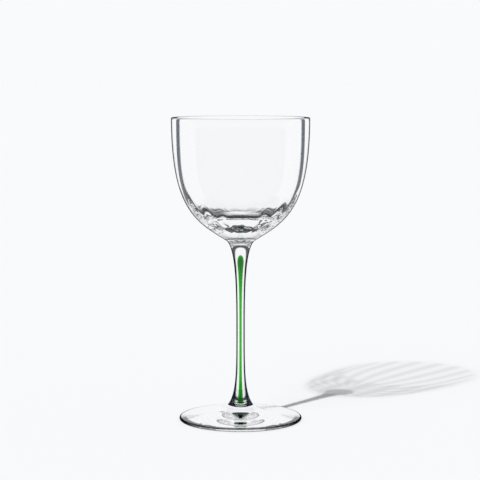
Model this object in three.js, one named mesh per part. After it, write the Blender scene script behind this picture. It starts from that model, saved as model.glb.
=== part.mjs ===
// A cocktail glass: an optic-ribbed bowl on a drawn stem that cases a thread of
// coloured glass, fused to a disc foot. Millimetres, +Z up, the foot rests on Z = 0.
import * as THREE from "three";

// Heights above the table.
const HEIGHT = 165;
const BOWL_JOINT_HEIGHT = 98.3;
const WAIST_HEIGHT = 53.5;
const FOOT_JOINT_HEIGHT = 8;

// Bowl: outside radii, glass thicknesses and the fullness of its two curves.
const RIM_RADIUS = 37.5;
const NECK_RADIUS = 7.7;
const RIM_WALL = 2.8;
const BOWL_FLOOR = 9;
const RIM_ROUNDING = 0.6;
const OUTSIDE_SIDE_REACH = 0.455;
const OUTSIDE_FLOOR_REACH = 0.97;
const OUTSIDE_FLOOR_ANGLE = 22;
const INSIDE_SIDE_REACH = 0.55;
const INSIDE_FLOOR_REACH = 0.95;

// Optic ribs, proud of the bowl's inside. A crest lies RIB_TURN degrees from +X.
const RIB_COUNT = 18;
const RIB_DEPTH = 0.42;
const RIB_TURN = 4;
const RIB_START_BELOW_RIM = 35;
const RIB_FULL_BELOW_RIM = 60;
const RIB_FADE_RADIUS = 10;

// Stem: a waist between two flares.
const WAIST_RADIUS = 2.3;
const FOOT_END_RADIUS = 6.9;
const NECK_FLARE_ANGLE = 39;
const NECK_FLARE_REACH = 6.2;
const UPPER_WAIST_REACH = 20;
const FOOT_FLARE_ANGLE = 52;
const FOOT_FLARE_REACH = 8;
const LOWER_WAIST_REACH = 25;

// Coloured core: a drop below the bowl's joint, drawn out to a thread that spreads at the foot.
const CORE_COVER = 7.4;
const DROP_TIP = 3.9;
const DROP_RADIUS = 1.18;
const THREAD_RADIUS = 0.47;
const DROP_SHOULDER = 0.2;
const THREAD_PULL = 1.7;
const CORE_FOOT_RADIUS = 1.4;
const CORE_FLARE_REACH = 3.2;
const CORE_CLEARANCE = 0.1;

// Foot: a low cone with a rounded edge and a hollowed underside.
const FOOT_RADIUS = 33.5;
const FOOT_EDGE = 1.7;
const FOOT_SLOPE = 7;
const FOOT_SLOPE_REACH = 17;
const FOOT_FILLET_REACH = 4;
const REST_RING_WIDTH = 5.5;
const KICK_HEIGHT = 1;

// Facets around the axis.
const FACETS_PER_RIB = 5;
const STEM_FACETS = 32;
const CORE_FACETS = 16;
const FOOT_FACETS = 72;

const at = (radius, height) => new THREE.Vector2(radius, height);
const along = (from, reach, degrees) => {
  const angle = THREE.MathUtils.degToRad(degrees);
  return at(from.x + reach * Math.cos(angle), from.y + reach * Math.sin(angle));
};
const bend = (...points) => new THREE.CubicBezierCurve(...points);
const roundCorner = (centre, radius, from, to) =>
  new THREE.EllipseCurve(centre.x, centre.y, radius, radius, from, to, to < from);

// Joins curves and single points into one outline, without doubled points.
function outline(...pieces) {
  const points = [];
  for (const [curve, steps] of pieces) {
    for (const point of steps ? curve.getPoints(steps) : [curve]) {
      if (!points.length || points.at(-1).distanceTo(point) > 1e-6) points.push(point);
    }
  }
  return points;
}

// Spins an outline of (radius, height) points about +Z.
function spin(points, facets) {
  return new THREE.LatheGeometry(points, facets).rotateX(Math.PI / 2);
}

// The bowl and the stem meet at this circle, and the stem and the foot at the next one.
const neck = at(NECK_RADIUS, BOWL_JOINT_HEIGHT);
const footEnd = at(FOOT_END_RADIUS, FOOT_JOINT_HEIGHT);

function makeBowl() {
  const depth = HEIGHT - BOWL_JOINT_HEIGHT;
  const span = RIM_RADIUS - NECK_RADIUS;
  const insideRadius = RIM_RADIUS - RIM_WALL;
  const floorHeight = BOWL_JOINT_HEIGHT + BOWL_FLOOR;
  const shoulder = HEIGHT - RIM_ROUNDING;

  const outside = bend(
    neck,
    along(neck, span * OUTSIDE_FLOOR_REACH, OUTSIDE_FLOOR_ANGLE),
    at(RIM_RADIUS, shoulder - depth * OUTSIDE_SIDE_REACH),
    at(RIM_RADIUS, shoulder),
  );
  const outerLip = at(RIM_RADIUS - RIM_ROUNDING, shoulder);
  const innerLip = at(insideRadius + RIM_ROUNDING, shoulder);
  const inside = bend(
    at(insideRadius, shoulder),
    at(insideRadius, shoulder - depth * INSIDE_SIDE_REACH),
    at(insideRadius * INSIDE_FLOOR_REACH, floorHeight),
    at(0, floorHeight),
  );
  const insideSteps = 17;
  const points = outline(
    [at(0, BOWL_JOINT_HEIGHT)],
    [outside, 15],
    [roundCorner(outerLip, RIM_ROUNDING, 0, Math.PI / 2), 2],
    [roundCorner(innerLip, RIM_ROUNDING, Math.PI / 2, Math.PI), 2],
    [inside, insideSteps],
  );
  const bowl = spin(points, RIB_COUNT * FACETS_PER_RIB);
  pressRibs(bowl.attributes.position, points.length, insideSteps + 1);
  return bowl;
}

// Pushes the inside wall towards the axis in a wave of RIB_COUNT ribs. The wave dies out
// up the wall, which fire polishing smooths, and where the ribs run together on the floor.
function pressRibs(position, rows, insideRows) {
  for (let i = 0; i < position.count; i++) {
    if (i % rows < rows - insideRows) continue;
    const x = position.getX(i);
    const y = position.getY(i);
    const radius = Math.hypot(x, y);
    if (radius === 0) continue;
    const belowRim = HEIGHT - position.getZ(i);
    const fade =
      THREE.MathUtils.smoothstep(belowRim, RIB_START_BELOW_RIM, RIB_FULL_BELOW_RIM) *
      THREE.MathUtils.smoothstep(radius, 0, RIB_FADE_RADIUS);
    const turn = Math.atan2(y, x) - THREE.MathUtils.degToRad(RIB_TURN);
    const wave = (1 + Math.cos(RIB_COUNT * turn)) / 2;
    const shrink = 1 - (RIB_DEPTH * fade * wave) / radius;
    position.setXY(i, x * shrink, y * shrink);
  }
}

// The core's outline from its tip down to the foot, grown by the given amount.
function coreOutline(grow) {
  const drop = at(DROP_RADIUS + grow, BOWL_JOINT_HEIGHT - CORE_COVER - DROP_TIP);
  const thread = at(THREAD_RADIUS + grow, WAIST_HEIGHT);
  const spread = at(CORE_FOOT_RADIUS + grow, FOOT_JOINT_HEIGHT);
  const half = (drop.y - WAIST_HEIGHT) / 2;
  const shoulder = at(drop.x, drop.y - half * DROP_SHOULDER);
  const pull = at(thread.x, thread.y + half * THREAD_PULL);
  return outline(
    [new THREE.EllipseCurve(0, drop.y, drop.x, DROP_TIP + grow, Math.PI / 2, 0, true), 4],
    [bend(drop, shoulder, pull, thread), 8],
    [
      bend(
        thread,
        at(thread.x, thread.y - LOWER_WAIST_REACH),
        along(spread, CORE_FLARE_REACH, 180 - FOOT_FLARE_ANGLE - 20),
        spread,
      ),
      8,
    ],
  );
}

function makeStem() {
  const waist = at(WAIST_RADIUS, WAIST_HEIGHT);
  const lower = bend(
    footEnd,
    along(footEnd, FOOT_FLARE_REACH, 180 - FOOT_FLARE_ANGLE),
    at(waist.x, waist.y - LOWER_WAIST_REACH),
    waist,
  );
  const upper = bend(
    waist,
    at(waist.x, waist.y + UPPER_WAIST_REACH),
    along(neck, NECK_FLARE_REACH, NECK_FLARE_ANGLE - 180),
    neck,
  );
  const points = outline(
    ...coreOutline(CORE_CLEARANCE).map((point) => [point]),
    [lower, 12],
    [upper, 12],
    [at(0, BOWL_JOINT_HEIGHT)],
  );
  return spin(points, STEM_FACETS);
}

function makeCore() {
  const points = outline(...coreOutline(0).map((point) => [point]), [at(0, FOOT_JOINT_HEIGHT)]);
  return spin(points.reverse(), CORE_FACETS);
}

function makeFoot() {
  const edge = FOOT_EDGE / 2;
  const ringOuter = FOOT_RADIUS - edge;
  const ringInner = ringOuter - REST_RING_WIDTH;
  const top = at(ringOuter, FOOT_EDGE);
  const cone = bend(
    top,
    along(top, FOOT_SLOPE_REACH, 180 - FOOT_SLOPE),
    along(footEnd, FOOT_FILLET_REACH, -FOOT_FLARE_ANGLE),
    footEnd,
  );
  const kick = bend(
    at(0, KICK_HEIGHT),
    at(ringInner / 3, KICK_HEIGHT),
    at((ringInner * 2) / 3, KICK_HEIGHT / 4),
    at(ringInner, 0),
  );
  const points = outline(
    [kick, 5],
    [at(ringOuter, 0)],
    [roundCorner(at(ringOuter, edge), edge, -Math.PI / 2, Math.PI / 2), 5],
    [cone, 9],
    [at(0, FOOT_JOINT_HEIGHT)],
  );
  return spin(points, FOOT_FACETS);
}

const clearGlass = () =>
  new THREE.MeshStandardMaterial({
    color: 0xeef3f6,
    roughness: 0.03,
    metalness: 0,
    transparent: true,
    opacity: 0.3,
  });
const greenGlass = () =>
  new THREE.MeshStandardMaterial({
    color: 0x1eaf3c,
    roughness: 0.03,
    metalness: 0,
    transparent: true,
    opacity: 0.85,
  });

const glass = new THREE.Group();
const pieces = [
  ["bowl", makeBowl(), clearGlass()],
  ["stem", makeStem(), clearGlass()],
  ["stem_core", makeCore(), greenGlass()],
  ["foot", makeFoot(), clearGlass()],
];
for (const [name, geometry, material] of pieces) {
  const mesh = new THREE.Mesh(geometry, material);
  mesh.name = name;
  glass.add(mesh);
}

export default glass;
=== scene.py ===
# %% [markdown]
# # A cocktail glass with a green thread in its stem
#
# The glass is four gathers of hot glass: a clear bowl with soft ribs pressed into its inside,
# a clear stem drawn out to a waist, a thread of green glass cased inside that stem, and a disc
# foot. The CAD model already holds all four as solids. It is the frame here: each piece below
# replaces one of its nodes with a finer surface in the same place.

import math

import bpy
import numpy as np
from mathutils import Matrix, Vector


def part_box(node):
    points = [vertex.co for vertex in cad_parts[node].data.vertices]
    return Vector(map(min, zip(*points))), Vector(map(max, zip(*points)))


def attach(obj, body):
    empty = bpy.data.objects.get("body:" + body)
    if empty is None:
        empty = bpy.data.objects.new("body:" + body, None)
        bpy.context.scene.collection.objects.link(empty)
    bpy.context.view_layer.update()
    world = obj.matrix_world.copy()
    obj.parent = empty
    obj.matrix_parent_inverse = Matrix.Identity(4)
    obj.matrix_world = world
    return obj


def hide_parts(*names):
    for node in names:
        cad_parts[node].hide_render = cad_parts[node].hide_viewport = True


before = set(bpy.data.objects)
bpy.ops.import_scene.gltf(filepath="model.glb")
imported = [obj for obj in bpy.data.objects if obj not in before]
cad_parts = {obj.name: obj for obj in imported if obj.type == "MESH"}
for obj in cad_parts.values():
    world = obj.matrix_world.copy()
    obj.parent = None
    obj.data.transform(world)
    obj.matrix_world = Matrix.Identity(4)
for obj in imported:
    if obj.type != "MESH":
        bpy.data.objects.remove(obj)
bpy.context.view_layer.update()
scene = bpy.context.scene
print("CAD nodes:", ", ".join(sorted(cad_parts)))

# %% [markdown]
# ## Heights and joints
#
# A finer surface only helps if it lies where the solid lies. Heights and outer radii are read
# from the solids' boxes, so they follow the CAD model. The radii of the neck, the waist and the
# foot's joint, and the waist's height, can't be read from a box and are repeated here. All sizes
# are in millimetres.

# %% Heights and joints
MM = 0.001

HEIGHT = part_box("bowl")[1][2] / MM
NECK_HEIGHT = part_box("bowl")[0][2] / MM
FOOT_JOINT_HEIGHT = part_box("foot")[1][2] / MM
WAIST_HEIGHT = 53.5

RIM_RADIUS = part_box("bowl")[1][0] / MM
FOOT_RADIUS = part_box("foot")[1][0] / MM
NECK_RADIUS = 7.7
WAIST_RADIUS = 2.3
FOOT_END_RADIUS = 6.9

NECK = (NECK_RADIUS, NECK_HEIGHT)
WAIST = (WAIST_RADIUS, WAIST_HEIGHT)
FOOT_END = (FOOT_END_RADIUS, FOOT_JOINT_HEIGHT)
print(f"height {HEIGHT:.2f} mm, joints at {NECK_HEIGHT:.2f} mm and {FOOT_JOINT_HEIGHT:.2f} mm")

# %% [markdown]
# ## Profiles
#
# Hot glass on a turning pipe takes smooth curves, with no flats and no corners. A profile could
# be drawn point by point, but a cubic curve with four handles says the same with fewer numbers,
# and its ends can be made to leave in a stated direction. Arcs do the rounded lips.


# %% Curves of a profile
def cubic(start, start_handle, end_handle, end, count):
    """Points on a cubic Bezier curve: each handle's share is a product of u and 1 - u."""
    u = np.linspace(0, 1, count)[:, None]
    a, b, c, d = (np.asarray(p, float) for p in (start, start_handle, end_handle, end))
    return (1 - u) ** 3 * a + 3 * (1 - u) ** 2 * u * b + 3 * (1 - u) * u**2 * c + u**3 * d


def arc(centre, radii, start, end, count):
    """Points on an ellipse: the centre plus each radius times the cosine or sine of the angle."""
    t = np.linspace(start, end, count)
    return np.stack([centre[0] + radii[0] * np.cos(t), centre[1] + radii[1] * np.sin(t)], 1)


def level(from_radius, to_radius, height, count):
    """Points on a level line, evenly spaced between two radii."""
    radius = np.linspace(from_radius, to_radius, count)
    return np.stack([radius, np.full(count, height)], 1)


def along(point, reach, degrees):
    """The point at that distance from another, in the direction of that angle above the level."""
    angle = math.radians(degrees)
    return (point[0] + reach * math.cos(angle), point[1] + reach * math.sin(angle))


def joined(*runs):
    """Runs of points as one profile, each without the first point that repeats the run before."""
    return np.concatenate([runs[0]] + [run[1:] for run in runs[1:]])


print("a quarter round of radius 1 has", len(arc((0, 0), (1, 1), 0, math.pi / 2, 9)), "points")

# %% [markdown]
# ## Turning a profile into a closed skin
#
# Every piece is round, so its skin is a function of two parameters: the place along the profile
# and the angle round the axis. Blender's Screw modifier would spin a profile too, but the bowl's
# ribs need the radius to depend on both parameters, so the grid is worked out with numpy. The
# first and last rows lie on the axis and shrink to single points, which closes the skin.

# %% Skin helpers
SHARP_ANGLE = math.radians(16)


def spin(profile, columns):
    """Grid of points: x and y are the radius times cosine and sine of the angle, z the height."""
    angle = np.linspace(0, 2 * np.pi, columns, endpoint=False)
    radius = profile[:, :1]
    height = profile[:, 1:] + 0 * angle
    return np.stack([radius * np.cos(angle), radius * np.sin(angle), height], -1)


def skin(name, grid, materials, strip_slots):
    """Closed mesh of a grid whose end rows are poles. strip_slots gives each strip's material."""
    rows, columns = grid.shape[:2]
    points = np.concatenate([grid[:1, 0], grid[1:-1].reshape(-1, 3), grid[-1:, 0]]) * MM
    inner = 1 + np.arange((rows - 2) * columns).reshape(rows - 2, columns)
    beside = np.roll(inner, -1, axis=1)
    quads = np.stack([inner[:-1], beside[:-1], beside[1:], inner[1:]], -1).reshape(-1, 4)
    first = np.stack([np.zeros(columns, int), beside[0], inner[0]], -1)
    last = np.stack([np.full(columns, len(points) - 1), inner[-1], beside[-1]], -1)
    mesh = bpy.data.meshes.new(name)
    mesh.from_pydata(points.tolist(), [], first.tolist() + quads.tolist() + last.tolist())
    for material in materials:
        mesh.materials.append(material)
    slots = np.repeat(np.asarray(strip_slots, np.int32), columns)
    mesh.polygons.foreach_set("material_index", slots)
    mesh.polygons.foreach_set("use_smooth", np.ones(len(slots), bool))
    mesh.set_sharp_from_angle(angle=SHARP_ANGLE)
    mesh.update()
    piece = bpy.data.objects.new(name, mesh)
    scene.collection.objects.link(piece)
    print(f"{name}: {rows} rows of {columns} points, {2 * (rows - 2) * columns} triangles")
    return piece


def settle(piece, node):
    """The piece stands for that CAD node and rides on the one rigid body."""
    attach(piece, "root")
    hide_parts(node)


print("a skin is sharp past", round(math.degrees(SHARP_ANGLE)), "degrees")

# %% [markdown]
# ## Building blocks of a finish
#
# A finish is a small graph of shader nodes. Most of its steps are the same few: mix two shaders,
# do one sum, read a value off a ramp. Naming these once keeps the finishes themselves short.


# %% Node helpers
def nodes_of(material):
    """The material's node tree, its Principled shader and its output."""
    material.use_nodes = True
    tree = material.node_tree
    return tree, tree.nodes["Principled BSDF"], tree.nodes["Material Output"]


def mixed(tree, factor, first, second):
    """A Mix Shader of two shaders by a factor."""
    node = tree.nodes.new("ShaderNodeMixShader")
    tree.links.new(factor, node.inputs[0])
    tree.links.new(first.outputs[0], node.inputs[1])
    tree.links.new(second.outputs[0], node.inputs[2])
    return node


def maths(tree, operation, first, second=0.0):
    """One Math node; each value is a socket or a number."""
    node = tree.nodes.new("ShaderNodeMath")
    node.operation = operation
    for socket, value in zip(node.inputs, (first, second)):
        if isinstance(value, (int, float)):
            socket.default_value = value
        else:
            tree.links.new(value, socket)
    return node.outputs[0]


def read_off(tree, value, stops):
    """The value read off a colour ramp that has a grey or a colour at each of its places."""
    node = tree.nodes.new("ShaderNodeValToRGB")
    elements = node.color_ramp.elements
    while len(elements) < len(stops):
        elements.new(0.5)
    for element, (place, shade) in zip(elements, stops):
        element.position = place
        element.color = shade if isinstance(shade, tuple) else (shade, shade, shade, 1.0)
    tree.links.new(value, node.inputs[0])
    return node.outputs[0]


def place_parts(tree):
    """The place on the object, split into x, y and z."""
    place = tree.nodes.new("ShaderNodeTexCoord")
    parts = tree.nodes.new("ShaderNodeSeparateXYZ")
    tree.links.new(place.outputs["Object"], parts.inputs[0])
    return parts.outputs


def height_share(tree):
    """The height on the object as a share of the whole glass."""
    return maths(tree, "DIVIDE", place_parts(tree)["Z"], HEIGHT * MM)


def by_height(tree, stops):
    """A ramp up the glass, with its stops given in millimetres above the table."""
    return read_off(tree, height_share(tree), [(z / HEIGHT, shade) for z, shade in stops])


print("node helpers: mix, sum, ramp, place and height")

# %% [markdown]
# ## Dark edges of clear glass
#
# In a photo studio a glass is lit from behind, and its edges go dark because there they bend the
# eye's ray far off to the side, away from the bright backdrop. A backdrop of the right width would
# do that for one camera only. Here the Fresnel value picks out the same grazing parts of the
# surface, and a dark layer of painted shade takes over there, so the edges are dark from every side.
# Rays that are mirrored totally inside the glass have a Fresnel value near 1, and most finishes
# leave them without painted shade.

# %% Dark edges
# Share of painted edge shade, and the Fresnel values where it gives way on mirrored rays.
EDGE_WEIGHT = 0.96
MIRROR_START, MIRROR_FULL = 0.93, 0.985


def edge(start, full, mirrored=0.0):
    """Ramp stops of the dark layer: none up to one Fresnel value, all from the next, then less."""
    weight = EDGE_WEIGHT
    return [(start, 0.0), (full, weight), (MIRROR_START, weight), (MIRROR_FULL, mirrored)]


print("dark edges: weight", EDGE_WEIGHT, "up to a Fresnel value of", MIRROR_START)

# %% [markdown]
# ## Dark edges of the stem
#
# The stem is solid, so its painted edge shade starts early, and that needs three corrections. Seen
# from above, all of it is at a grazing angle, so its normals are turned upwards before they are
# compared, less for rays inside the glass than for rays outside. Its neck curls over, so the painted
# shade is held back there. Its lower half gets painted shade only where it is seen directly, not as
# an image in the foot, but its neck gets painted shade as an image in the bowl's floor. All heights
# are in millimetres.

# %% Edges of the stem
LIFT_OUTSIDE = math.tan(math.radians(30))
LIFT_INSIDE = [(56.0, math.tan(math.radians(15))), (76.0, 0.0)]
NECK_HOLD = [(86.0, 0.0), (97.0, 0.05)]
NECK_IMAGE_HEIGHT = 94.0
IMAGE_DEPTH = 1.5


def stem_grazing(tree, fresnel):
    """Fresnel value for a normal turned upwards, less a share on the neck's outer faces."""
    face = tree.nodes.new("ShaderNodeNewGeometry")
    inside = face.outputs["Backfacing"]
    change = maths(tree, "SUBTRACT", by_height(tree, LIFT_INSIDE), LIFT_OUTSIDE)
    lift = maths(tree, "ADD", maths(tree, "MULTIPLY", inside, change), LIFT_OUTSIDE)
    upward = tree.nodes.new("ShaderNodeCombineXYZ")
    tree.links.new(lift, upward.inputs["Z"])
    lifted = tree.nodes.new("ShaderNodeVectorMath")
    tree.links.new(face.outputs["Normal"], lifted.inputs[0])
    tree.links.new(upward.outputs[0], lifted.inputs[1])
    unit = tree.nodes.new("ShaderNodeVectorMath")
    unit.operation = "NORMALIZE"
    tree.links.new(lifted.outputs[0], unit.inputs[0])
    tree.links.new(unit.outputs[0], fresnel.inputs["Normal"])
    outside = maths(tree, "SUBTRACT", 1.0, inside)
    held = maths(tree, "MULTIPLY", by_height(tree, NECK_HOLD), outside)
    return maths(tree, "SUBTRACT", fresnel.outputs[0], held)


def stem_images(tree, share):
    """The share, none in images of the lower stem and full in images of the neck."""
    depth = tree.nodes.new("ShaderNodeLightPath").outputs["Ray Depth"]
    height = height_share(tree)
    direct = maths(tree, "LESS_THAN", depth, IMAGE_DEPTH)
    upper = maths(tree, "GREATER_THAN", height, WAIST_HEIGHT / HEIGHT)
    kept = maths(tree, "MULTIPLY", share, maths(tree, "MAXIMUM", direct, upper))
    image = maths(tree, "GREATER_THAN", depth, IMAGE_DEPTH)
    neck = maths(tree, "GREATER_THAN", height, NECK_IMAGE_HEIGHT / HEIGHT)
    sunk = maths(tree, "MULTIPLY", maths(tree, "MULTIPLY", image, neck), EDGE_WEIGHT)
    return maths(tree, "MAXIMUM", kept, sunk)


print("stem: normals turned up by", round(math.degrees(math.atan(LIFT_OUTSIDE))), "degrees")

# %% [markdown]
# ## Lamp light through glass
#
# Real glass focuses lamp light into streaks. Tracing that takes very many rays. Here a shadow ray
# meets a thin transparent layer instead of the glass. It is darker where the wall is seen edge on,
# which draws the glass's outline in its shadow, and on the bowl's inside it is darker between the
# ribs, which draws the fan of streaks.

# %% Light through the wall, the solid stem and the disc
WALL_SHADOW = [(0.0, 0.985), (0.6, 0.98), (0.85, 0.93), (1.0, 0.7)]
SOLID_SHADOW = [(0.0, 0.40), (0.6, 0.28), (1.0, 0.1)]
DISC_SHADOW = [(0.0, 0.98), (0.6, 0.96), (1.0, 0.7)]

RIB_COUNT = 18
RIB_TURN = math.radians(4)
STREAK_DARK = 0.71
STREAK_POWER = 0.8


def streaks(tree, shade):
    """The shade, darker between the ribs: a power of the cosine of the angle times the count."""
    parts = place_parts(tree)
    angle = maths(tree, "ARCTAN2", parts["Y"], parts["X"])
    turned = maths(tree, "SUBTRACT", angle, RIB_TURN)
    wave = maths(tree, "COSINE", maths(tree, "MULTIPLY", turned, RIB_COUNT))
    crest = maths(tree, "MULTIPLY", maths(tree, "ADD", wave, 1.0), 0.5)
    bright = maths(tree, "POWER", crest, STREAK_POWER)
    gain = maths(tree, "MULTIPLY", bright, 1.0 - STREAK_DARK)
    return maths(tree, "MULTIPLY", shade, maths(tree, "ADD", gain, STREAK_DARK))


def lamp_layer(tree, shadow_stops, use):
    """A transparent layer with the shade that the ramp has at the surface's facing value."""
    facing = tree.nodes.new("ShaderNodeLayerWeight")
    shade = read_off(tree, facing.outputs["Facing"], shadow_stops)
    if use == "bowl_inside":
        shade = streaks(tree, shade)
    layer = tree.nodes.new("ShaderNodeBsdfTransparent")
    tree.links.new(shade, layer.inputs[0])
    return layer


print("lamp light:", RIB_COUNT, "streaks, the darkest at", STREAK_DARK)

# %% [markdown]
# ## Clear glass
#
# Polished clear glass bends light by its index, 1.52, and has no colour of its own. Blender's Glass
# shader would do for a picture, but the Principled shader says the same and an export can read it.
# The dark layer of painted edge shade goes over it, and the layer for lamp light takes its place
# for shadow rays.
#
# Two uses have traits of their own. On the stem the painted edge shade has the three corrections.
# On the bowl's inside the painted shade gets bluer away from the thick floor, and more painted
# shade gathers in the corner where the wall meets that floor.

# %% Clear glass
GLASS_INDEX = 1.52
GLASS_TINT = (1.0, 1.0, 1.0, 1.0)
# Colours of the painted edge shade: darkest where the glass is thick, bluer on the walls.
PAINTED_SHADE_THICK = (0.010, 0.018, 0.028, 1.0)
PAINTED_SHADE_WALL = (0.018, 0.031, 0.052, 1.0)
PAINTED_SHADE_THIN = (0.030, 0.052, 0.090, 1.0)
# Heights in millimetres: the painted shade turns bluer up the inner wall, and a band of painted
# shade darkens the floor's corner.
PAINTED_SHADE_UP_THE_WALL = [(122.0, PAINTED_SHADE_THICK), (150.0, PAINTED_SHADE_THIN)]
PAINTED_SHADE_FLOOR_CORNER = [(108.0, 0.0), (108.8, 0.10), (111.5, 0.10), (115.0, 0.0)]


def with_dark_edges(tree, glass, edge_stops, painted_shade_colour, use):
    """The glass mixed with the dark layer by the share that the ramp has at the Fresnel value."""
    fresnel = tree.nodes.new("ShaderNodeFresnel")
    fresnel.inputs["IOR"].default_value = GLASS_INDEX
    dark = tree.nodes.new("ShaderNodeBsdfTransparent")
    dark.inputs[0].default_value = painted_shade_colour
    grazing = fresnel.outputs[0]
    # On the bowl's inside, painted shade gathers in the floor's corner and turns bluer up the wall.
    if use == "bowl_inside":
        grazing = maths(tree, "ADD", grazing, by_height(tree, PAINTED_SHADE_FLOOR_CORNER))
        tree.links.new(by_height(tree, PAINTED_SHADE_UP_THE_WALL), dark.inputs[0])
    if use == "stem":
        grazing = stem_grazing(tree, fresnel)
    share = read_off(tree, grazing, edge_stops)
    if use == "stem":
        share = stem_images(tree, share)
    return mixed(tree, share, glass, dark)


def clear_glass(name, edge_stops, shadow_stops, painted_shade_colour=PAINTED_SHADE_THICK, use="", to_room=True):
    """Clear glass with dark edges; rays from the table and to a lamp meet the lamp layer instead."""
    material = bpy.data.materials.new(name)
    tree, glass, output = nodes_of(material)
    glass.inputs["Base Color"].default_value = GLASS_TINT
    glass.inputs["Roughness"].default_value = 0.0
    glass.inputs["IOR"].default_value = GLASS_INDEX
    glass.inputs["Transmission Weight"].default_value = 1.0
    edged = with_dark_edges(tree, glass, edge_stops, painted_shade_colour, use)
    passed = lamp_layer(tree, shadow_stops, use)
    path = tree.nodes.new("ShaderNodeLightPath")
    whole = mixed(tree, path.outputs["Is Shadow Ray"], edged, passed)
    if to_room:
        whole = mixed(tree, path.outputs["Is Diffuse Ray"], whole, passed)
    tree.links.new(whole.outputs[0], output.inputs["Surface"])
    return material


print("clear glass: index", GLASS_INDEX)

# %% [markdown]
# ## Six finishes of one glass
#
# The pieces are the same glass, but their thickness differs, and with it the place where the dark
# layer of painted edge shade starts: late on the bowl's outside, earlier on its inside, very early
# on the thick stem and on the foot's edge, and hardly at all on the foot's disc. One finish with a
# map of thickness could do it all, but six plain ones are easier to read. The foot's ring gets
# painted shade where it mirrors, too. The room's light on the table passes all but the foot's edge,
# which keeps its contact shadow.

# %% Finishes of the bowl, the stem and the foot
outer_wall = clear_glass("bowl_outside", edge(0.32, 0.50), WALL_SHADOW, painted_shade_colour=PAINTED_SHADE_WALL)
inner_wall = clear_glass("bowl_inside", edge(0.17, 0.24), WALL_SHADOW, use="bowl_inside")
stem_glass = clear_glass("stem_glass", edge(0.050, 0.059), SOLID_SHADOW, use="stem")
foot_glass = clear_glass("foot_glass", edge(0.85, 0.92), DISC_SHADOW)
foot_edge_glass = clear_glass("foot_edge_glass", edge(0.05, 0.10), DISC_SHADOW, to_room=False)
# The ring also keeps painted shade on rays mirrored inside it.
foot_ring_glass = clear_glass("foot_ring_glass", edge(0.50, 0.90, mirrored=0.85), DISC_SHADOW)
print("six finishes, from", outer_wall.name, "to", foot_ring_glass.name)

# %% [markdown]
# ## Fused joints
#
# Bowl, stem and foot are joined while they are soft, so on the real glass nothing shows at a
# joint. One skin round all three would show none either, but then they would be one piece. Each
# is a closed skin of its own here, and its flat end must not bend light, so a plain transparent
# layer on the two ends that touch makes them vanish. It is the second material of a piece.

# %% Fused joint
JOINT_SLOT = 1

fused_joint = bpy.data.materials.new("fused_joint")
joint_tree, joint_principled, joint_output = nodes_of(fused_joint)
joint_tree.nodes.remove(joint_principled)
joint_clear = joint_tree.nodes.new("ShaderNodeBsdfTransparent")
joint_clear.inputs[0].default_value = (1, 1, 1, 1)
joint_tree.links.new(joint_clear.outputs[0], joint_output.inputs["Surface"])
print("fused joint: unseen")

# %% [markdown]
# ## Green glass
#
# The thread is coloured in the mass: light loses red and blue on its way through, so the thick
# drop is deep green and the thin edges are yellow green. A painted colour would look flat. A
# volume that absorbs does what the real glass does. The thread is fused into glass of the same
# index, so its own surface bends nothing and its index is 1 against its surroundings.

# %% Green glass
CASED_INDEX = 1.0
GREEN_MASS = (0.22, 0.856, 0.0, 1)
GREEN_SHADOW = (0.55, 0.75, 0.40, 1)
ABSORPTION_PER_METRE = 6300.0

green_glass = bpy.data.materials.new("green_cased_glass")
green_tree, green_skin, green_output = nodes_of(green_glass)
green_skin.inputs["Base Color"].default_value = (1, 1, 1, 1)
green_skin.inputs["Roughness"].default_value = 0.0
green_skin.inputs["IOR"].default_value = CASED_INDEX
green_skin.inputs["Transmission Weight"].default_value = 1.0
green_mass = green_tree.nodes.new("ShaderNodeVolumeAbsorption")
green_mass.inputs["Color"].default_value = GREEN_MASS
green_mass.inputs["Density"].default_value = ABSORPTION_PER_METRE
green_tree.links.new(green_mass.outputs[0], green_output.inputs["Volume"])
green_path = green_tree.nodes.new("ShaderNodeLightPath")
green_light = green_tree.nodes.new("ShaderNodeBsdfTransparent")
green_light.inputs[0].default_value = GREEN_SHADOW
green_whole = mixed(green_tree, green_path.outputs["Is Shadow Ray"], green_skin, green_light)
green_tree.links.new(green_whole.outputs[0], green_output.inputs["Surface"])
print("green glass: absorbs", ABSORPTION_PER_METRE, "per metre")

# %% [markdown]
# ## Bowl
#
# The bowl is blown: smooth outside, with a thick floor and a wall that is thinnest below its
# middle. A Solidify modifier would give a sheet one thickness all over. This profile has a curve
# for each side, so floor and wall get their own: it runs up the outside, over the rim and down the
# inside. Under the bowl the outside is up to 1.5 mm slimmer than the solid's, after the photo's
# outline.

# %% Bowl profile
RIM_WALL = 2.8
RIM_ROUNDING = 0.6
BOWL_FLOOR = 9.0
OUTSIDE_FLOOR_ANGLE, OUTSIDE_FLOOR_REACH, OUTSIDE_SIDE_REACH = 32, 0.65, 0.74
INSIDE_SIDE_REACH, INSIDE_FLOOR_REACH = 0.55, 0.95
OUTSIDE_STEPS, LIP_STEPS, RIM_STEPS, INSIDE_STEPS, CAP_STEPS = 120, 9, 4, 130, 5

bowl_depth = HEIGHT - NECK_HEIGHT
bowl_span = RIM_RADIUS - NECK_RADIUS
inside_radius = RIM_RADIUS - RIM_WALL
shoulder = HEIGHT - RIM_ROUNDING
floor_height = NECK_HEIGHT + BOWL_FLOOR
lip = (RIM_ROUNDING, RIM_ROUNDING)
outer_lip_radius = RIM_RADIUS - RIM_ROUNDING
inner_lip_radius = inside_radius + RIM_ROUNDING

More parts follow.
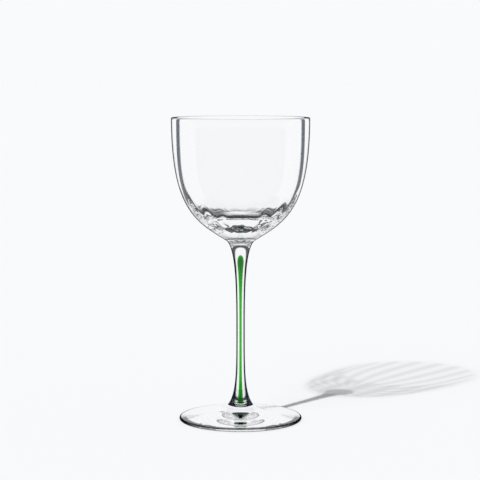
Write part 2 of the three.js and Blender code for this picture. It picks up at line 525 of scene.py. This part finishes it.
outside = cubic(
    NECK,
    along(NECK, bowl_span * OUTSIDE_FLOOR_REACH, OUTSIDE_FLOOR_ANGLE),
    (RIM_RADIUS, shoulder - bowl_depth * OUTSIDE_SIDE_REACH),
    (RIM_RADIUS, shoulder),
    OUTSIDE_STEPS,
)
inside = cubic(
    (inside_radius, shoulder),
    (inside_radius, shoulder - bowl_depth * INSIDE_SIDE_REACH),
    (inside_radius * INSIDE_FLOOR_REACH, floor_height),
    (0, floor_height),
    INSIDE_STEPS,
)
bowl_profile = joined(
    level(0, NECK_RADIUS, NECK_HEIGHT, CAP_STEPS),
    outside,
    arc((outer_lip_radius, shoulder), lip, 0, math.pi / 2, LIP_STEPS),
    level(outer_lip_radius, inner_lip_radius, HEIGHT, RIM_STEPS),
    arc((inner_lip_radius, shoulder), lip, math.pi / 2, math.pi, LIP_STEPS),
    inside,
)
print(f"bowl: {HEIGHT - floor_height:.1f} mm deep, {2 * inside_radius:.1f} mm wide inside")

# %% [markdown]
# ## Ribs
#
# The soft ribs on the bowl's inside come from a ribbed mould that the first bubble is blown into.
# Further blowing and the fire-polished rim wipe them off the upper wall. A displacement texture
# could draw them, but a form should be in the mesh, so the inside radius is lowered by a cosine
# wave. It grows down the wall and dies out where the ribs run together on the floor.

# %% Bowl with its ribs
RIB_DEPTH = 0.42
RIB_START_BELOW_RIM, RIB_FULL_BELOW_RIM = 35.0, 60.0
RIB_FADE_RADIUS = 10.0
COLUMNS_PER_RIB = 14
INSIDE_SLOT = 2


def ease(value, low, high):
    """Smooth step: 0 at low, 1 at high, 3 t squared minus 2 t cubed between."""
    t = np.clip((value - low) / (high - low), 0, 1)
    return t * t * (3 - 2 * t)


bowl_grid = spin(bowl_profile, RIB_COUNT * COLUMNS_PER_RIB)
wall = bowl_grid[-INSIDE_STEPS:]
wall_radius, wall_height = np.split(bowl_profile[-INSIDE_STEPS:], 2, axis=1)
rib_growth = ease(HEIGHT - wall_height, RIB_START_BELOW_RIM, RIB_FULL_BELOW_RIM)
rib_fade = rib_growth * ease(wall_radius, 0, RIB_FADE_RADIUS)
column_angle = np.linspace(0, 2 * np.pi, bowl_grid.shape[1], endpoint=False)
rib_wave = (1 + np.cos(RIB_COUNT * (column_angle - RIB_TURN))) / 2
ribbed_radius = wall_radius - RIB_DEPTH * rib_fade * rib_wave
wall[..., 0] = ribbed_radius * np.cos(column_angle)
wall[..., 1] = ribbed_radius * np.sin(column_angle)

bowl_strips = np.zeros(len(bowl_profile) - 1, int)
bowl_strips[: CAP_STEPS - 1] = JOINT_SLOT
bowl_strips[-(INSIDE_STEPS - 1) :] = INSIDE_SLOT
bowl = skin("bowl_blown", bowl_grid, [outer_wall, fused_joint, inner_wall], bowl_strips)
settle(bowl, "bowl")

# %% [markdown]
# ## Stem
#
# The stem is drawn from the bowl's base while it is hot, which is why it is thin in the middle
# and flares at both ends. With one curve from end to end, a change to a flare would move the waist
# too, so two cubic curves meet there, both upright. The green thread lies inside as a second skin,
# and the stem itself has no bore.

# %% Stem
FOOT_FLARE_ANGLE, FOOT_FLARE_REACH, LOWER_WAIST_REACH = 52, 8.0, 25.0
NECK_FLARE_ANGLE, NECK_FLARE_REACH, UPPER_WAIST_REACH = 39, 6.2, 20.0
STEM_STEPS, STEM_COLUMNS = 130, 128

lower_flare = cubic(
    FOOT_END,
    along(FOOT_END, FOOT_FLARE_REACH, 180 - FOOT_FLARE_ANGLE),
    (WAIST_RADIUS, WAIST_HEIGHT - LOWER_WAIST_REACH),
    WAIST,
    STEM_STEPS,
)
upper_flare = cubic(
    WAIST,
    (WAIST_RADIUS, WAIST_HEIGHT + UPPER_WAIST_REACH),
    along(NECK, NECK_FLARE_REACH, NECK_FLARE_ANGLE - 180),
    NECK,
    STEM_STEPS,
)
stem_profile = joined(
    level(0, FOOT_END_RADIUS, FOOT_JOINT_HEIGHT, CAP_STEPS),
    lower_flare,
    upper_flare,
    level(NECK_RADIUS, 0, NECK_HEIGHT, CAP_STEPS),
)
stem_strips = np.zeros(len(stem_profile) - 1, int)
stem_strips[: CAP_STEPS - 1] = JOINT_SLOT
stem_strips[-(CAP_STEPS - 1) :] = JOINT_SLOT
stem_grid = spin(stem_profile, STEM_COLUMNS)
stem = skin("stem_drawn", stem_grid, [stem_glass, fused_joint], stem_strips)
settle(stem, "stem")

# %% [markdown]
# ## Green thread
#
# A bead of green glass is picked up inside the gather and is drawn out with the stem. It stays
# thick at the top as a drop, thins to a thread at the waist, and spreads again at the foot. A
# stripe painted on the stem would be as wide as it looks. The real thread is thinner, because the
# stem magnifies it like a lens, so it is a closed skin inside the stem.

# %% Green thread
CORE_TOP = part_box("stem_core")[1][2] / MM
DROP_TIP = 3.9
DROP_RADIUS = 1.18
DROP_SHOULDER = 0.2
THREAD_RADIUS = 0.47
THREAD_PULL = 1.7
CORE_FOOT_RADIUS = 1.4
CORE_FLARE_REACH = 3.2
CORE_STEEPER = 20
DROP_STEPS, THREAD_STEPS, THREAD_COLUMNS = 24, 80, 48

drop_height = CORE_TOP - DROP_TIP
half_draw = (drop_height - WAIST_HEIGHT) / 2
spread = (CORE_FOOT_RADIUS, FOOT_JOINT_HEIGHT)
thread = (THREAD_RADIUS, WAIST_HEIGHT)
lower_thread = cubic(
    spread,
    along(spread, CORE_FLARE_REACH, 180 - FOOT_FLARE_ANGLE - CORE_STEEPER),
    (THREAD_RADIUS, WAIST_HEIGHT - LOWER_WAIST_REACH),
    thread,
    THREAD_STEPS,
)
upper_thread = cubic(
    thread,
    (THREAD_RADIUS, WAIST_HEIGHT + half_draw * THREAD_PULL),
    (DROP_RADIUS, drop_height - half_draw * DROP_SHOULDER),
    (DROP_RADIUS, drop_height),
    THREAD_STEPS,
)
thread_profile = joined(
    level(0, CORE_FOOT_RADIUS, FOOT_JOINT_HEIGHT, CAP_STEPS),
    lower_thread,
    upper_thread,
    arc((0, drop_height), (DROP_RADIUS, DROP_TIP), 0, math.pi / 2, DROP_STEPS),
)
thread_strips = np.zeros(len(thread_profile) - 1, int)
core = skin("green_thread", spin(thread_profile, THREAD_COLUMNS), [green_glass], thread_strips)
settle(core, "stem_core")

# %% [markdown]
# ## Foot
#
# The foot is pressed flat from one more gather: a low cone on top, a rounded edge, and a
# hollowed underside so that it stands on a ring and doesn't rock. One material could cover it
# all, but its rounded edge and the outer part of its ring bend light much more than the flat disc
# does. They are narrow bands of the same skin, with painted edge shade that starts earlier.

# %% Foot
FOOT_EDGE = 1.7
FOOT_SLOPE, FOOT_SLOPE_REACH = 7, 17.0
FOOT_FILLET_REACH = 4.0
REST_RING_WIDTH = 5.5
KICK_HEIGHT = 1.0
KICK_STEPS, RING_STEPS, EDGE_STEPS, CONE_STEPS, FOOT_COLUMNS = 50, 8, 17, 120, 224
# Strips of the ring beside the edge that take the ring's painted shade.
DARK_RING_STRIPS = 4
EDGE_SLOT, RING_SLOT = 2, 3

edge_radius = FOOT_EDGE / 2
ring_outer = FOOT_RADIUS - edge_radius
ring_inner = ring_outer - REST_RING_WIDTH
cone_start = (ring_outer, FOOT_EDGE)
quarter = math.pi / 2

kick = cubic(
    (0, KICK_HEIGHT),
    (ring_inner / 3, KICK_HEIGHT),
    (ring_inner * 2 / 3, KICK_HEIGHT / 4),
    (ring_inner, 0),
    KICK_STEPS,
)
cone = cubic(
    cone_start,
    along(cone_start, FOOT_SLOPE_REACH, 180 - FOOT_SLOPE),
    along(FOOT_END, FOOT_FILLET_REACH, -FOOT_FLARE_ANGLE),
    FOOT_END,
    CONE_STEPS,
)
foot_profile = joined(
    kick,
    level(ring_inner, ring_outer, 0, RING_STEPS),
    arc((ring_outer, edge_radius), (edge_radius, edge_radius), -quarter, quarter, EDGE_STEPS),
    cone,
    level(FOOT_END_RADIUS, 0, FOOT_JOINT_HEIGHT, CAP_STEPS),
)
edge_start = (KICK_STEPS - 1) + (RING_STEPS - 1)
foot_strips = np.zeros(len(foot_profile) - 1, int)
foot_strips[edge_start : edge_start + EDGE_STEPS - 1] = EDGE_SLOT
foot_strips[edge_start - DARK_RING_STRIPS : edge_start] = RING_SLOT
foot_strips[-(CAP_STEPS - 1) :] = JOINT_SLOT
foot_materials = [foot_glass, fused_joint, foot_edge_glass, foot_ring_glass]
foot = skin("foot_pressed", spin(foot_profile, FOOT_COLUMNS), foot_materials, foot_strips)
settle(foot, "foot")

# %% [markdown]
# ## Table
#
# The glass stands on a plain white table that runs out of sight. A sheet of paper curved up behind
# the glass would look as seamless, but before a backdrop of the same white a plane is enough. It
# lies a tenth of a millimetre below the foot's ring, because two faces in one plane would flicker.

# %% Table
TABLE_WHITE = (0.898, 0.906, 0.922, 1.0)
TABLE_HALF = 30.0
TABLE_DROP = 0.1

sides = (-TABLE_HALF, TABLE_HALF)
corners = [(x, y, -TABLE_DROP * MM) for y in sides for x in sides]
table_mesh = bpy.data.meshes.new("table")
table_mesh.from_pydata(corners, [], [(0, 1, 3, 2)])
table = bpy.data.objects.new("table", table_mesh)
scene.collection.objects.link(table)
table_finish = bpy.data.materials.new("table_white")
table_shader = nodes_of(table_finish)[1]
table_shader.inputs["Base Color"].default_value = TABLE_WHITE
table_shader.inputs["Roughness"].default_value = 1.0
table_shader.inputs["Specular IOR Level"].default_value = 0.0
table_mesh.materials.append(table_finish)
print("table:", 2 * TABLE_HALF, "m wide")

# %% [markdown]
# ## Lamp
#
# One lamp stands high at the left in front, a good metre from the glass, so the shadow falls to
# the right behind it and grows with the height of what casts it. A sun lamp would keep the shadow
# at the bowl's own size. The lamp's brightness has a small core, for the streaks, and a soft and
# a wide halo, for the shadow's blurred edge, so it is three lamps in one place.
#
# A near lamp would also light the table unevenly. Constant falloff takes the distance out of its
# light, and multiplying by the length of the ray takes out its slant, so the table stays plain.

# %% Lamp
LAMP_PLACE = Vector((-0.54, -0.678, 1.0))
# Each lamp's name, strength and radius in metres.
LAMPS = [("lamp_core", 1.60, 0.010), ("lamp_soft", 0.60, 0.050), ("lamp_halo", 0.45, 0.330)]

for lamp_name, strength, radius in LAMPS:
    lamp_data = bpy.data.lights.new(lamp_name, "POINT")
    lamp_data.energy = 4 * math.pi * strength
    lamp_data.shadow_soft_size = radius
    lamp_data.cycles.use_multiple_importance_sampling = False
    lamp_data.use_nodes = True
    lamp_tree = lamp_data.node_tree
    falloff = lamp_tree.nodes.new("ShaderNodeLightFalloff")
    falloff.inputs["Strength"].default_value = 1.0
    lamp_path = lamp_tree.nodes.new("ShaderNodeLightPath")
    reach = maths(lamp_tree, "DIVIDE", lamp_path.outputs["Ray Length"], LAMP_PLACE.z)
    even = maths(lamp_tree, "MULTIPLY", falloff.outputs["Constant"], reach)
    lamp_tree.links.new(even, lamp_tree.nodes["Emission"].inputs["Strength"])
    lamp = bpy.data.objects.new(lamp_name, lamp_data)
    lamp.location = LAMP_PLACE
    lamp.visible_glossy = False
    lamp.visible_transmission = False
    scene.collection.objects.link(lamp)
    print(f"{lamp_name}: strength {strength}, radius {radius} m")

# %% [markdown]
# ## Room
#
# The rest is a white room. The glass sees a grey front of it, and behind itself the backdrop, a
# dark flag half way up and a bright ceiling. Glass shows its form only where it mirrors or bends
# in something darker. Cards and flags could be built as meshes, but a room made of directions
# casts no shadow and is never in the way.

# %% What the glass sees
BACKDROP = (0.9473, 0.9560, 0.9735, 1.0)
FRONT_GREY = (0.45, 0.46, 0.48, 1.0)
FLAG_DARK = (0.042, 0.047, 0.055, 1.0)
CEILING = (1.0, 1.0, 1.0, 1.0)
# Degrees above the level, and the colour there.
FLAG_DEGREES = [(36, BACKDROP), (39, FLAG_DARK), (82, FLAG_DARK), (85, CEILING)]
# A direction is behind the glass when its y is above this.
BEHIND = 0.05
# The Mix node's sockets for two colours and their mix.
FRONT_SOCKET, BEHIND_SOCKET, COLOUR_SOCKET = 6, 7, 2

room = bpy.data.worlds.new("room")
scene.world = room
room.use_nodes = True
room.cycles.sampling_method = "NONE"
room_tree = room.node_tree
direction = room_tree.nodes.new("ShaderNodeTexCoord")
heading = room_tree.nodes.new("ShaderNodeSeparateXYZ")
room_tree.links.new(direction.outputs["Generated"], heading.inputs[0])
flag_stops = [(math.sin(math.radians(degrees)), colour) for degrees, colour in FLAG_DEGREES]
flag = read_off(room_tree, heading.outputs["Z"], flag_stops)
behind = maths(room_tree, "GREATER_THAN", heading.outputs["Y"], BEHIND)
round_about = room_tree.nodes.new("ShaderNodeMix")
round_about.data_type = "RGBA"
round_about.inputs[FRONT_SOCKET].default_value = FRONT_GREY
room_tree.links.new(behind, round_about.inputs["Factor"])
room_tree.links.new(flag, round_about.inputs[BEHIND_SOCKET])
walls = room_tree.nodes.new("ShaderNodeBackground")
room_tree.links.new(round_about.outputs[COLOUR_SOCKET], walls.inputs[0])
print("dark flag behind the glass:", FLAG_DEGREES[1][0], "to", FLAG_DEGREES[2][0], "degrees up")

# %% [markdown]
# ## Which ray sees what
#
# A ray that has met glass sees the walls, a ray from the camera sees the plain backdrop, and every
# other ray, which only carries light to the table, sees an even fill. Light Path tells them apart.
# One room for all would give the table the flag's shade. Focused light isn't traced, because the
# layer for lamp light stands in for it.

# %% Rays and the room
ROOM_LIGHT = 0.211
BOUNCES = 24

fill = room_tree.nodes["Background"]
fill.inputs[0].default_value = (ROOM_LIGHT, ROOM_LIGHT, ROOM_LIGHT, 1)
backdrop = room_tree.nodes.new("ShaderNodeBackground")
backdrop.inputs[0].default_value = BACKDROP
ray = room_tree.nodes.new("ShaderNodeLightPath").outputs
through_glass = maths(room_tree, "MAXIMUM", ray["Is Glossy Ray"], ray["Is Transmission Ray"])
glass_or_fill = mixed(room_tree, through_glass, fill, walls)
seen = mixed(room_tree, ray["Is Camera Ray"], glass_or_fill, backdrop)
room_tree.links.new(seen.outputs[0], room_tree.nodes["World Output"].inputs[0])

cycles = scene.cycles
cycles.max_bounces = BOUNCES
cycles.transmission_bounces = BOUNCES
cycles.glossy_bounces = BOUNCES
cycles.transparent_max_bounces = BOUNCES
cycles.caustics_reflective = False
cycles.caustics_refractive = False
cycles.blur_glossy = 0.0
scene.view_settings.view_transform = "Standard"
print("room light:", ROOM_LIGHT, "and up to", BOUNCES, "bounces")

# %% [markdown]
# ## Camera
#
# The camera stands a little above the rim and looks slightly down, as in the photo. Its place and
# its lens could be set by eye. They were found from the rim's and the foot's ellipses instead, since
# those two tell height, distance and tilt.

# %% Camera
CAMERA_PLACE = (-0.0003, -0.85895, 0.18856)
LOOKING_DOWN = 5.979
LENS, SENSOR = 119.355, 36.0
FARTHEST = 200.0

camera_data = bpy.data.cameras.new("camera")
camera_data.sensor_width = SENSOR
camera_data.lens = LENS
camera_data.clip_end = FARTHEST
camera = bpy.data.objects.new("camera", camera_data)
camera.location = CAMERA_PLACE
camera.rotation_euler = (math.radians(90 - LOOKING_DOWN), 0.0, 0.0)
scene.collection.objects.link(camera)
scene.camera = camera
print("camera at", [round(v, 4) for v in camera.location])

# %% [markdown]
# ## Last update
#
# The scene is brought up to date once more at the end.

# %% Update the scene
bpy.context.view_layer.update()
